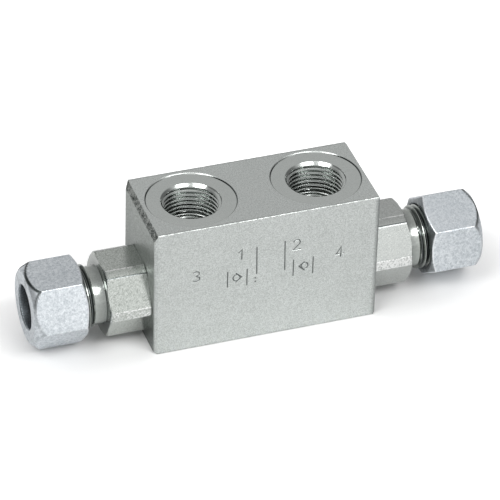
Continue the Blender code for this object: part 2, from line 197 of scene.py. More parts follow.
def boolean(thing, cutter):
    modifier = thing.modifiers.new("cut", "BOOLEAN")
    modifier.operation = "DIFFERENCE"
    modifier.solver = "EXACT"
    modifier.object = cutter
    bpy.context.view_layer.update()
    evaluated = thing.evaluated_get(bpy.context.evaluated_depsgraph_get())
    mesh = bpy.data.meshes.new_from_object(evaluated)
    thing.modifiers.clear()
    old = thing.data
    thing.data = mesh
    bpy.data.meshes.remove(old)
    bpy.data.objects.remove(cutter, do_unlink=True)
    return thing


# Shader node groups, each giving out colours, masks and heights only

# A short way to add and link the nodes of one tree.
class Nodes:

    def __init__(self, tree):
        self.tree = tree

    def link(self, output, into):
        self.tree.links.new(output, into)

    def add(self, kind, inputs=None, **settings):
        node = self.tree.nodes.new(kind)
        for key, value in settings.items():
            setattr(node, key, value)
        for key, value in (inputs or {}).items():
            if isinstance(value, bpy.types.NodeSocket):
                self.link(value, node.inputs[key])
            else:
                node.inputs[key].default_value = value
        return node

    def group(self, group, inputs):
        return self.add("ShaderNodeGroup", inputs, node_tree=group).outputs

    def math(self, operation, a, b=0.0, clamp=False):
        return self.add("ShaderNodeMath", {0: a, 1: b}, operation=operation, use_clamp=clamp).outputs[0]

    def ramp(self, value, low, high, toLow=0.0, toHigh=1.0):
        return self.add("ShaderNodeMapRange", {0: value, 1: low, 2: high, 3: toLow, 4: toHigh},
                        clamp=True).outputs[0]

    def mix(self, factor, a, b, blend="MIX"):
        node = self.add("ShaderNodeMix", {0: factor, 6: a, 7: b}, data_type="RGBA", blend_type=blend)
        return node.outputs[2]

    def noise(self, vector, scale, detail=2.0, roughness=0.5):
        return self.add("ShaderNodeTexNoise", {"Vector": vector, "Scale": scale, "Detail": detail,
                                               "Roughness": roughness}).outputs["Fac"]

    def stretched(self, vector, turn, scale):
        turned = self.add("ShaderNodeMapping", {"Vector": vector, "Rotation": turn}).outputs[0]
        return self.add("ShaderNodeMapping", {"Vector": turned, "Scale": scale}).outputs[0]


def newGroup(name, inputs, outputs):
    group = bpy.data.node_groups.new(name, "ShaderNodeTree")
    for label, kind, value in inputs:
        socket = group.interface.new_socket(label, in_out="INPUT", socket_type="NodeSocket" + kind)
        if value is not None:
            socket.default_value = value
    for label, kind in outputs:
        group.interface.new_socket(label, in_out="OUTPUT", socket_type="NodeSocket" + kind)
    nodes = Nodes(group)
    return group, nodes, nodes.add("NodeGroupInput").outputs, nodes.add("NodeGroupOutput")


zincRamps = {      # from low and high, to low and high
    "cloud": (0.3, 0.7, -0.2, 0.2), "mottle": (0.36, 0.64, -0.5, 0.5), "grain": (0.3, 0.7, -0.5, 0.5),
    "worms": (0.0, 0.05, 0.5, -0.3),
}


# Cloudy zinc plating: patches, a crystal mottle, a fine grain and short bright lines.
def makeZincGroup():
    group, n, given, out = newGroup("zincPlating", [
        ("Vector", "Vector", None), ("Light", "Color", (0.8, 0.8, 0.8, 1)),
        ("Dark", "Color", (0.5, 0.5, 0.5, 1)), ("Cloud Size", "Float", 150.0),
        ("Mottle Size", "Float", 900.0), ("Mottle", "Float", 0.5),
        ("Grain Size", "Float", 3000.0), ("Grain", "Float", 0.3),
        ("Worm Size", "Float", 900.0), ("Worms", "Float", 0.0)],
        [("Color", "Color"), ("Patch", "Float"), ("Height", "Float")])
    cloud = n.noise(given["Vector"], given["Cloud Size"], 3.0)
    mottle = n.noise(given["Vector"], given["Mottle Size"], 3.0, 0.6)
    grain = n.noise(given["Vector"], given["Grain Size"], 1.0)
    patch = n.math("ADD", n.ramp(cloud, *zincRamps["cloud"]), n.ramp(mottle, *zincRamps["mottle"]))
    patch = n.math("MULTIPLY", patch, given["Mottle"])
    fine = n.math("MULTIPLY", n.ramp(grain, *zincRamps["grain"]), given["Grain"])
    lines = n.noise(given["Vector"], given["Worm Size"], 2.0, 0.6)
    ridge = n.ramp(n.math("ABSOLUTE", n.math("SUBTRACT", lines, 0.5)), *zincRamps["worms"])
    fine = n.math("ADD", fine, n.math("MULTIPLY", ridge, given["Worms"]))
    total = n.math("ADD", n.math("ADD", patch, fine), 0.5, clamp=True)
    n.link(n.mix(total, given["Dark"], given["Light"]), out.inputs["Color"])
    n.link(total, out.inputs["Patch"])
    height = n.math("ADD", n.math("MULTIPLY", mottle, given["Mottle"]),
                    n.math("MULTIPLY", grain, given["Grain"]))
    n.link(height, out.inputs["Height"])
    return group


wearRamps = {"breaks": (0.25, 0.75, -0.6, 0.4), "mask": (0.45, 0.75)}


# Bright or dark breaks along an edge, from a 0 to 1 edge mask.
def makeWearGroup():
    group, n, given, out = newGroup("edgeWear", [
        ("Vector", "Vector", None), ("Edge", "Float", 0.0), ("Break Size", "Float", 1200.0),
        ("Amount", "Float", 0.5)], [("Mask", "Float")])
    broken = n.noise(given["Vector"], given["Break Size"], 3.0, 0.7)
    level = n.math("ADD", given["Edge"], n.ramp(broken, *wearRamps["breaks"]))
    level = n.math("ADD", level, n.math("SUBTRACT", given["Amount"], 0.5))
    n.link(n.ramp(level, *wearRamps["mask"]), out.inputs["Mask"])
    return group


markLevels = {"start": 0.75, "drop": 0.4, "sharpness": 8.0}


# Fine scratches or tool marks along one direction, set by how the vector is stretched.
def makeMarkGroup():
    group, n, given, out = newGroup("toolMarks", [
        ("Vector", "Vector", None), ("Turn", "Vector", (0.0, 0.0, 0.0)),
        ("Stretch", "Vector", (1.0, 1.0, 1.0)), ("Size", "Float", 2500.0), ("Coverage", "Float", 0.5)],
        [("Mask", "Float"), ("Height", "Float")])
    lines = n.noise(n.stretched(given["Vector"], given["Turn"], given["Stretch"]), given["Size"], 3.0, 0.65)
    n.link(lines, out.inputs["Height"])
    edge = n.math("SUBTRACT", markLevels["start"], n.math("MULTIPLY", given["Coverage"], markLevels["drop"]))
    above = n.math("SUBTRACT", lines, edge, clamp=True)
    n.link(n.math("MULTIPLY", above, markLevels["sharpness"], clamp=True), out.inputs["Mask"])
    return group


zincGroup, wearGroup, markGroup = makeZincGroup(), makeWearGroup(), makeMarkGroup()


def startMaterial(name, look):
    material = bpy.data.materials.new(name)
    material.use_nodes = True
    n = Nodes(material.node_tree)
    shader = material.node_tree.nodes["Principled BSDF"]
    shader.inputs["Metallic"].default_value = look.get("metallic", 1.0)
    place = n.add("ShaderNodeTexCoord").outputs["Object"]
    return material, n, shader, place


def connect(n, shader, look, color, rough, height):
    bump = n.add("ShaderNodeBump", {"Strength": look["bump"], "Distance": look["bumpDepth"] * mm,
                                    "Height": height})
    n.link(color, shader.inputs["Base Color"])
    n.link(rough, shader.inputs["Roughness"])
    n.link(bump.outputs[0], shader.inputs["Normal"])


def rgb(color):
    return (*color, 1.0)


# Zinc plate with mottle, tool marks, worn edges that are partly a painted highlight on the fittings and nuts,
# painted shade from a mask and a bumped grain.
def platedMetal(name, look):
    material, n, shader, place = startMaterial(name, look)
    zinc = n.group(zincGroup, {
        "Vector": place, "Light": rgb(look["light"]), "Dark": rgb(look["dark"]), "Cloud Size": look["clouds"],
        "Mottle Size": look["mottleSize"], "Mottle": look["mottle"], "Grain Size": look["grainSize"],
        "Grain": look["grain"], "Worm Size": look["wormSize"], "Worms": look["worms"]})
    marks = n.group(markGroup, {
        "Vector": place, "Turn": look["markTurn"], "Stretch": look["stretch"], "Size": look["markSize"],
        "Coverage": look["marks"]})
    edge = n.add("ShaderNodeAttribute", attribute_name="edge").outputs["Fac"]
    wear = n.group(wearGroup, {"Vector": place, "Edge": edge, "Break Size": look["wearSize"],
                               "Amount": look["wear"]})
    marked = n.math("MULTIPLY", marks["Mask"], look["markStrength"])
    color = n.mix(marked, zinc["Color"], rgb(look["markColor"]))
    color = n.mix(n.math("MULTIPLY", wear["Mask"], look["wearStrength"]), color, rgb(look["wearColor"]))
    # painted shade from the darkening mask, towards a near black
    darkening = n.add("ShaderNodeAttribute", attribute_name="darkening").outputs["Fac"]
    color = n.mix(darkening, color, rgb(look["darkeningColor"]))
    rough = n.math("ADD", n.ramp(zinc["Patch"], 0.2, 0.8, look["rough"][1], look["rough"][0]),
                   n.math("MULTIPLY", wear["Mask"], -look["wearGloss"]))
    height = n.math("ADD", zinc["Height"], n.math("MULTIPLY", marks["Height"], look["markHeight"]))
    connect(n, shader, look, color, rough, height)
    return material


# Rubber, plastic or ground steel, with a fine mottle and tool marks.
def plainMaterial(name, look):
    material, n, shader, place = startMaterial(name, look)
    marks = n.group(markGroup, {"Vector": place, "Stretch": look["stretch"], "Size": look["markSize"]})
    cloud = n.noise(place, look["clouds"], 3.0)
    color = n.mix(n.ramp(cloud, 0.35, 0.65), rgb(look["dark"]), rgb(look["light"]))
    rough = n.ramp(marks["Height"], 0.3, 0.7, *look["rough"])
    connect(n, shader, look, color, rough, marks["Height"])
    return material


# Sizes are noise scales per metre, and bumpDepth is in millimetres.
zincDefaults = {
    "light": (0.70, 0.73, 0.715), "dark": (0.46, 0.485, 0.47), "darkeningColor": (0.06, 0.07, 0.07),
    "clouds": 90.0, "mottleSize": 1400.0, "mottle": 0.30, "grainSize": 3300.0, "grain": 1.0,
    "worms": 0.0, "wormSize": 900.0, "markTurn": (0.0, 0.0, 0.0), "stretch": (0.15, 1.0, 1.0),
    "markSize": 2400.0, "marks": 0.3, "markStrength": 0.2, "markColor": (0.85, 0.86, 0.85),
    "markHeight": 0.4, "wearSize": 1500.0, "wear": 0.5, "wearStrength": 0.6,
    "wearColor": (0.86, 0.87, 0.86), "wearGloss": 0.08, "rough": (0.34, 0.44), "bump": 0.35,
    "bumpDepth": 0.06,
}
zincLooks = {
    "blockZinc": {
        "light": (0.72, 0.75, 0.735), "dark": (0.475, 0.50, 0.485), "wearColor": (0.38, 0.40, 0.39),
        "wear": 0.30, "wearGloss": -0.12, "wearSize": 900.0},
    # the end faces: milled, with tool marks, and darker than the block's zinc, partly as painted shade
    "endZinc": {
        "light": (0.50, 0.53, 0.51), "dark": (0.33, 0.35, 0.33), "markTurn": (0.45, 0.0, 0.0),
        "stretch": (1.0, 0.25, 1.5), "markSize": 1500.0, "marks": 0.55, "markStrength": 0.3,
        "markColor": (0.20, 0.22, 0.20)},
    "turnedZinc": {
        "light": (0.58, 0.61, 0.585), "dark": (0.31, 0.33, 0.31), "rough": (0.14, 0.22), "mottle": 0.2,
        "grain": 0.2, "stretch": (7.0, 0.6, 0.6), "markSize": 700.0, "marks": 0.5, "markStrength": 0.25,
        "markColor": (0.30, 0.32, 0.30), "markHeight": 1.0, "bump": 0.25, "bumpDepth": 0.03},
    "machinedZinc": {
        "light": (0.64, 0.67, 0.65), "dark": (0.50, 0.525, 0.51), "rough": (0.14, 0.19), "bump": 0.02,
        "grain": 0.15, "mottle": 0.2, "marks": 0.0, "markHeight": 0.0},
    "roughChamfer": {
        "light": (0.40, 0.42, 0.40), "dark": (0.06, 0.07, 0.065), "mottle": 0.9, "mottleSize": 900.0,
        "markTurn": (0.6, 0.0, 0.0), "stretch": (0.3, 1.6, 0.3), "markSize": 1400.0, "marks": 0.35,
        "markStrength": 0.8, "markHeight": 1.2, "rough": (0.3, 0.5), "bump": 0.8, "bumpDepth": 0.12},
    "fittingZinc": {
        "light": (0.65, 0.68, 0.65), "dark": (0.42, 0.45, 0.42), "rough": (0.15, 0.24), "mottle": 0.25,
        "bump": 0.3, "wear": 0.62, "wearStrength": 0.9, "wearSize": 1700.0,
        "wearColor": (0.97, 0.98, 0.97), "markTurn": (0.0, 0.75, 0.0), "stretch": (0.45, 1.0, 1.7),
        "markSize": 2300.0, "marks": 0.62, "markStrength": 0.5, "markColor": (0.16, 0.18, 0.16)},
    # the nut's bore: a darker copy of the nut's zinc, darker as painted shade
    "nutBoreShaded": {
        "light": (0.38, 0.42, 0.45), "dark": (0.17, 0.19, 0.205), "rough": (0.3, 0.45), "mottle": 0.7,
        "bump": 0.4},
    "nutZinc": {
        "light": (0.84, 0.88, 0.91), "dark": (0.50, 0.54, 0.57), "mottle": 0.62, "mottleSize": 1050.0,
        "grain": 0.5, "grainSize": 2600.0, "rough": (0.34, 0.46), "wear": 0.6, "wearStrength": 0.8,
        "wearColor": (0.95, 0.97, 0.99), "wearGloss": 0.04, "worms": 0.45},
}
zincLooks["fittingZincFine"] = {
    **zincLooks["fittingZinc"], "light": (0.585, 0.605, 0.59), "dark": (0.385, 0.405, 0.39),
    "markStrength": 0.12, "grain": 0.7}
plainDefaults = {"stretch": (1.0, 1.0, 1.0), "bump": 0.2, "bumpDepth": 0.02}
plainLooks = {
    "ringSteel": {
        "light": (0.20, 0.21, 0.22), "dark": (0.10, 0.105, 0.11), "rough": (0.3, 0.45), "clouds": 700.0,
        "stretch": (6.0, 1.0, 1.0), "markSize": 900.0, "bump": 0.3, "bumpDepth": 0.03},
    "groundSteel": {
        "light": (0.58, 0.58, 0.59), "dark": (0.46, 0.46, 0.47), "rough": (0.12, 0.28), "clouds": 400.0,
        "stretch": (8.0, 1.0, 1.0), "markSize": 1200.0},
    "springSteel": {
        "light": (0.42, 0.42, 0.43), "dark": (0.28, 0.28, 0.29), "rough": (0.2, 0.35), "clouds": 900.0,
        "markSize": 2500.0},
    "blackRubber": {
        "light": (0.022, 0.022, 0.022), "dark": (0.010, 0.010, 0.010), "rough": (0.45, 0.65),
        "clouds": 800.0, "markSize": 3000.0, "bump": 0.3, "metallic": 0.0},
    "whitePlastic": {
        "light": (0.86, 0.86, 0.83), "dark": (0.78, 0.78, 0.74), "rough": (0.35, 0.5), "clouds": 500.0,
        "stretch": (5.0, 1.0, 1.0), "markSize": 1500.0, "metallic": 0.0},
}
materials = {name: platedMetal(name, {**zincDefaults, **look}) for name, look in zincLooks.items()}
for name, look in plainLooks.items():
    materials[name] = plainMaterial(name, {**plainDefaults, **look})
print("materials made")


# Block

block = {
    "length": 64.5, "width": 28.0, "height": 40.0,
    "leftBreak": (0.9, 0.9, 2.3),      # in along the block, drop at the sides, drop at the top
    "rightBreak": 0.45, "endBevel": 0.25,
    "longBreak": 0.12, "longBreakJitter": 0.08, "leastBreak": 0.03, "lowerBreak": 0.3,
    "wobble": [(0.9, 3.1, 1.0), (2.3, 7.7, 0.6)],      # the jitter's frequency, row of noise and weight
    "stationSpacing": 1.0, "topSpacing": 0.45, "edgeRow": 0.6,
    "roughness": 0.07, "firstRowJitter": 0.03,         # of the rough chamfer at the left end
    # its rows: share along it, of the drop at the sides and at the top, of the roughness up and along
    "chamferRows": [(0.0, 1.0, 1.0, 0.7, 0.0), (0.35, 0.65, 0.63, 1.0, 1.0), (0.7, 0.3, 0.3, 1.0, 1.0)],
    "chamferBevel": 0.2, "seed": 4,
}
port = {
    "spacing": 36.0, "offset": 0.4, "faceRadius": 12.5, "faceDepth": 0.4, "faceBreak": 0.30,
    "rim": [(0.3, 0.5), (0.8, 0.1), (1.0, 0.0)],                 # shares of the break, down and out
    "corner": [(0.1, 0.0), (0.02, -0.04), (0.0, -0.12)],         # up from the face and out
    "mouth": [(0.0, 0.08), (-0.03, 0.02)], "threadStart": 0.06, "clear": 1.0,
    "mouthRadius": 8.5, "threadDepth": 12.0, "pointAngle": 118.0,
    "thread": {"pitch": 1.337, "crest": 7.48, "root": 8.33,
               "profile": [(0.0, 0.0), (0.2, 0.0), (0.29, 0.09), (0.46, 0.58), (0.53, 0.83), (0.59, 0.96),
                           (0.65, 1.0), (0.71, 0.96), (0.77, 0.83), (0.84, 0.58), (0.97, 0.09)]},
    "fade": 1.6, "passage": 3.25, "passageOffset": 1.0, "passageOverlap": 2.0, "steps": 96,
}
mainBore = {"pilot": 7.3, "seatPocket": 9.0, "stud": 10.0, "ringPocket": 10.9,
            "floor": 20.35, "nose": 24.65, "pocketFloor": 30.25, "clear": 1.0, "steps": 64}


def makeBlockBody():
    rng = np.random.default_rng(block["seed"])
    halfLength, half, height = block["length"] / 2, block["width"] / 2, block["height"]
    inX, inY, inZ = block["leftBreak"]
    small, edgeRow = block["rightBreak"], block["edgeRow"]
    stations = round(block["length"] / block["stationSpacing"])
    xs = np.linspace(-halfLength + inX, halfLength - small, stations)
    topCount = round(block["width"] / block["topSpacing"])
    share = np.linspace(-1, 1, topCount)
    rows = []

    # One cross-section: bottom edge, front edge, the top's points, back edge.
    def ring(x, y, low, high, lower, upper, topJitter=0.0, xJitter=0.0):
        points = [(x, y - lower, low), (x, -y + lower, low), (x, -y, low + lower),
                  (x, -y, low + lower + edgeRow), (x, -y, high - upper - edgeRow), (x, -y, high - upper)]
        top = np.stack([np.full(topCount, x), share * (y - upper), np.full(topCount, high)], axis=1)
        top[1:-1, 0] += xJitter * rng.normal(size=topCount - 2)
        top[1:-1, 2] += topJitter * rng.normal(size=topCount - 2)
        points += [tuple(p) for p in top]
        points += [(x, y, high - upper), (x, y, high - upper - edgeRow), (x, y, low + lower + edgeRow),
                   (x, y, low + lower)]
        points.append(points[0])
        return np.array(points)

    rough, bevel = block["roughness"], block["chamferBevel"]
    for along, side, top, upJitter, alongJitter in block["chamferRows"]:
        rows.append(ring(-halfLength + inX * along, half - inY * side, small * side, height - inZ * top,
                         bevel, bevel, upJitter * rough, alongJitter * rough))
    for i, x in enumerate(xs):
        wobble = sum(weight * noise.noise((x * often, row, 0.0)) for often, row, weight in block["wobble"])
        upper = max(block["longBreak"] + block["longBreakJitter"] * wobble, block["leastBreak"])
        rows.append(ring(x, half, 0.0, height, block["lowerBreak"], upper, 0.0,
                         block["firstRowJitter"] if i == 0 else 0.0))
    bevel = block["endBevel"]
    rows.append(ring(halfLength, half - small, small, height - small, bevel, bevel))
    bm = gridMesh(rows, closed=False, welded=0.001)
    bmesh.ops.holes_fill(bm, edges=[e for e in bm.edges if e.is_boundary])
    return makeObject("valve_block", bm, [materials["blockZinc"]])


# The cutter for one port: spotface with a worn rim, chamfered mouth, helical thread, drill point.
def makePortCutter(side):
    angles = np.linspace(0, math.tau, port["steps"] + 1)
    top = block["height"]
    face, bottom = top - port["faceDepth"], top - port["threadDepth"]
    thread, mouth = port["thread"], port["mouthRadius"]
    edge, radius = port["faceBreak"], port["faceRadius"]

    def flat(z, r):
        return (np.full(angles.shape, z), np.full(angles.shape, r))

    rows = [flat(top + port["clear"], 0.0), flat(top + port["clear"], radius + edge + 0.06),
            flat(top + 0.02, radius + edge + 0.04)]
    rows += [flat(top - edge * down, radius + edge * out) for down, out in port["rim"]]
    rows += [flat(face + up, radius + out) for up, out in port["corner"]]
    rows += [flat(face + up, mouth + out) for up, out in port["mouth"]]

    def envelope(height, value):
        cone = mouth - (face - height)
        fade = np.clip((height - bottom) / (port["fade"] * thread["pitch"]), 0, 1)
        value = thread["crest"] + (value - thread["crest"]) * fade
        return np.maximum(value, cone)

    # the thread's rows run down the hole, by their depth below its ceiling
    ceiling = face - port["threadStart"]
    downwards = threadRows(thread, 0.0, ceiling - bottom, -thread["pitch"], angles,
                           lambda depth, value: envelope(ceiling - depth, value))
    rows += [(ceiling - depth, value) for depth, value in downwards]
    tip = bottom - thread["crest"] / math.tan(math.radians(port["pointAngle"] / 2))
    rows += [flat(bottom - 0.01, thread["crest"]), flat(tip, 0.0)]
    x0 = port["offset"] + sides[side] * port["spacing"] / 2
    skins = [np.stack([x0 + r * np.cos(angles), r * np.sin(angles), z], axis=1) for z, r in rows]
    return makeObject("portCutter", gridMesh(skins + [skins[-1]]), [])


# A turned cutter, from (place, radius) points, about X or Z.
def makePlainCutter(name, outline, axis, centre):
    angles = np.linspace(0, math.tau, mainBore["steps"] + 1) + 0.02      # no two cutters share a corner
    rows = []
    for place, radius in outline:
        along = np.full(angles.shape, place)
        a, b = radius * np.cos(angles), radius * np.sin(angles)
        rows.append(np.stack([along, a, b] if axis == "X" else [a, b, along], axis=1) + np.array(centre))
    return makeObject(name, gridMesh(rows + [rows[-1]]), [])


def makeBlock():
    body = makeBlockBody()
    b = mainBore
    outside = block["length"] / 2 + b["clear"]
    half = [(b["floor"], b["pilot"]), (b["floor"], b["seatPocket"]), (b["nose"], b["seatPocket"]),
            (b["nose"], b["stud"]), (b["pocketFloor"], b["stud"]), (b["pocketFloor"], b["ringPocket"]),
            (outside, b["ringPocket"]), (outside, 0.0)]
    outline = [(-x, r) for x, r in reversed(half)] + half
    boolean(body, makePlainCutter("boreCutter", outline, "X", (0, 0, boreHeight)))
    for side, sign in sides.items():
        boolean(body, makePortCutter(side))
        x0 = port["offset"] + sign * (port["spacing"] / 2 - port["passageOffset"])
        top = block["height"] - port["threadDepth"] + port["passageOverlap"]
        passage = [(boreHeight, 0.0), (boreHeight, port["passage"]), (top, port["passage"]), (top, 0.0)]
        boolean(body, makePlainCutter("passageCutter", passage, "Z", (x0, 0, 0)))
    return body


blockFinishes = ["blockZinc", "machinedZinc", "roughChamfer", "endZinc"]


# Gives the machined faces, the rough chamfer and the ends their own materials.
def paintBlock(body):
    mesh = body.data
    mesh.materials.clear()
    for name in blockFinishes:
        mesh.materials.append(materials[name])
    machined, chamfer, end = 1, 2, 3      # places in blockFinishes
    halfLength, halfWidth, height = block["length"] / 2, block["width"] / 2, block["height"]
    inX, _, inZ = block["leftBreak"]
    for face in mesh.polygons:
        x, y, z = (v / mm for v in face.center)
        nearest = min(math.hypot(x - port["offset"] - s * port["spacing"] / 2, y) for s in sides.values())
        inBore = math.hypot(y, z - boreHeight) < mainBore["ringPocket"] + 0.1
        if z > boreHeight and nearest < port["faceRadius"] + 0.15 and z < height - 0.001:
            if abs(y) < halfWidth - 0.01 and abs(x) < halfLength - 0.01:
                face.material_index = machined
        elif inBore and abs(face.normal.x) < 0.999:
            face.material_index = machined
        elif face.normal.z > 0.2 and x < -halfLength + inX and z > height - inZ - 0.2:
            face.material_index = chamfer
        elif abs(face.normal.x) > 0.9:
            face.material_index = end
    mesh.shade_smooth()
    mesh.set_sharp_from_angle(angle=math.radians(25))


engraving = {
    "width": 0.46, "depth": 0.13, "digitHeight": 3.3, "proud": 0.05, "wall": 0.35, "circleSteps": 16,
    "lines": [   # (x, z) points on the front face
        [(-3.15, 30.6), (-3.0, 21.5)], [(4.95, 31.0), (5.1, 21.1)],
        [(-3.4, 20.6), (-3.4, 20.0)], [(-3.4, 19.4), (-3.4, 18.8)],
        [(-11.4, 24.0), (-11.4, 18.7)], [(-5.8, 23.8), (-5.8, 18.2)],
        [(-9.07, 22.98), (-7.34, 21.4), (-9.07, 19.9)],
        [(7.6, 24.1), (7.6, 18.6)], [(13.3, 24.0), (13.3, 18.2)],
        [(10.85, 22.85), (9.27, 21.4), (10.95, 19.75)],
    ],
    "circles": [((-8.85, 21.4), 1.0), ((10.85, 21.35), 1.0)],
    "digits": {"1": (-7.6, 27.3), "2": (8.4, 27.3), "3": (-20.4, 22.6), "4": (20.9, 22.2)},
    "shapes": {
        "1": [[(-0.25, 0.72), (0.05, 1.0), (0.05, 0.0)]],
        "2": [[(-0.3, 0.8), (-0.2, 0.95), (0.0, 1.0), (0.2, 0.95), (0.3, 0.78), (0.24, 0.58), (-0.32, 0.0),
               (0.34, 0.0)]],
        "3": [[(-0.28, 0.9), (0.0, 1.0), (0.24, 0.9), (0.24, 0.66), (0.0, 0.53), (0.27, 0.38), (0.27, 0.12),
               (0.0, 0.0), (-0.3, 0.1)]],
        "4": [[(0.14, 0.0), (0.14, 1.0), (-0.3, 0.3), (0.0, 0.3)], [(0.28, 0.3), (0.4, 0.3)]],
    },
}


# Two lists of strokes, cut one after the other because the balls touch their seats. A stroke is a
# list of points, and a closed one repeats its first point.
def engravedStrokes():
    e = engraving
    others = []
    turns = [math.tau * k / e["circleSteps"] for k in range(e["circleSteps"])]
    for (cx, cz), radius in e["circles"]:
        others.append([(cx + radius * math.cos(a), cz + radius * math.sin(a)) for a in turns])
        others[-1].append(others[-1][0])
    for digit, (x, z) in e["digits"].items():
        for stroke in e["shapes"][digit]:
            others.append([(x + px * e["digitHeight"], z + pz * e["digitHeight"]) for px, pz in stroke])
    return e["lines"], others


# Grooves with sloping walls along the strokes. The cutter stands a little proud of the front.
def makeEngravingCutter(strokes):
    e = engraving
    front = -block["width"] / 2
    levels = [(front - e["proud"], e["width"] * (0.5 + e["proud"] / e["depth"] * e["wall"])),
              (front + e["depth"], e["width"] * (0.5 - e["wall"]))]
    bm = bmesh.new()
    for stroke in strokes:
        closed = stroke[0] == stroke[-1]
        points = [Vector(p) for p in (stroke[:-1] if closed else stroke)]
        count = len(points)
        sections = []
        for i, point in enumerate(points):
            before = points[i - 1] if i or closed else None
            after = points[(i + 1) % count] if i < count - 1 or closed else None
            d1 = (point - before).normalized() if before is not None else None
            d2 = (after - point).normalized() if after is not None else None
            d1, d2 = d1 or d2, d2 or d1
            along = (d1 + d2).normalized()
            across = Vector((-along.y, along.x)) / max(along.dot(d1), 0.5)
            section = []
            for y, half in levels:
                for sign in (-1, 1):
                    place = point + across * half * sign
                    section.append(bm.verts.new(Vector((place.x, y, place.y)) * mm))
            sections.append(section)
        pairs = list(zip(sections, sections[1:])) + ([(sections[-1], sections[0])] if closed else [])
        for a, b in pairs:
            for i, j in ((0, 1), (1, 3), (3, 2), (2, 0)):
                bm.faces.new((a[i], a[j], b[j], b[i]))
        if not closed:
            for a in (sections[0], sections[-1]):
                bm.faces.new((a[0], a[1], a[3], a[2]))
    return makeObject("engravingCutter", bm, [])


blockBody = makeBlock()
for strokes in engravedStrokes():
    boolean(blockBody, makeEngravingCutter(strokes))
paintBlock(blockBody)


def portDistance(p):
    across = [p[:, 0] - port["offset"] - sign * port["spacing"] / 2 for sign in sides.values()]
    return np.minimum(*(np.hypot(x, p[:, 1]) for x in across))


blockWear = {"sideBand": 0.65, "topBand": 0.55}
# Painted shade by place, and a darkening along the right end's side edges
blockDarkening = {
    "roots": 0.25, "rootRadii": (7.9, 8.6), "rootBlend": 0.4, "rootHeights": (27.0, 38.4),
    "rim": 0.85, "wallHalf": 0.1, "wallHeights": (39.55, 39.85),
    "breakWidths": (-0.02, 0.25), "breakHeights": (39.68, 39.96),
    "unshadedFrom": 0.8, "unshadedBlend": 4.0, "backMiddle": 0.99, "backShade": 0.5,
    "stamped": 0.85, "stampedDepths": (-13.95, -13.8), "stampedHeights": (10.0, 36.0),
    "rightEnd": 0.5, "rightBand": 0.46, "rightSides": 13.0, "rightTop": 39.4,
    "leftEnd": 0.6, "leftFade": 0.0135,
}


# 1 on the worn long edges along the top and bottom.
def blockEdgeMask(p):
    across = np.abs(p[:, 1]) > block["width"] / 2 - blockWear["sideBand"]
    upward = np.abs(p[:, 2] - block["height"] / 2) > block["height"] / 2 - blockWear["topBand"]
    return across * upward * 1.0


# Painted shade in the thread roots, the engraving and the corner of each spotface, and painted shade darker
# towards the bottom of the left end; the right end is darker along its side edges.
def blockDarkeningMask(p):
    d = blockDarkening
    x, y, z = p.T
    distance = portDistance(p)
    rootStart, rootEnd = d["rootRadii"]
    # painted shade in the thread roots of each port
    roots = within(z, *d["rootHeights"]) * (distance < rootEnd)
    roots = roots * np.clip((distance - rootStart) / d["rootBlend"], 0, d["roots"])
    # painted shade on the spotface's rim wall and its break
    fromRim = distance - port["faceRadius"]
    rim = (np.abs(fromRim) < d["wallHalf"]) * within(z, *d["wallHeights"]) * d["rim"]
    rim += within(fromRim, *d["breakWidths"]) * within(z, *d["breakHeights"]) * d["rim"]
    # the painted shade on the rim fades out at the back, apart from its middle
    backwards = y / np.maximum(distance, 1)
    middle = (rim > 0) * (backwards > d["backMiddle"]) * d["backShade"]
    rim = rim * np.clip((d["unshadedFrom"] - backwards) * d["unshadedBlend"], 0, 1) + middle
    # painted shade in the engraved strokes
    stamped = within(y, *d["stampedDepths"]) * within(z, *d["stampedHeights"]) * d["stamped"]
    # darker along the right end's side edges
    rightEnd = (x > block["length"] / 2 - d["rightBand"]) * (np.abs(y) > d["rightSides"])
    rightEnd = rightEnd * (z < d["rightTop"]) * d["rightEnd"]
    # painted shade: the left end darker towards the bottom
    leftEnd = (x < -block["length"] / 2 + 0.01) * np.clip(d["leftEnd"] - z * d["leftFade"], 0, 1)
    return roots + rim + stamped + rightEnd + leftEnd


attribute(blockBody, "edge", blockEdgeMask)
attribute(blockBody, "darkening", blockDarkeningMask)
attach(blockBody, "block")
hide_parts("valve_body")
print("block made:", len(blockBody.data.polygons), "faces")


# End fittings

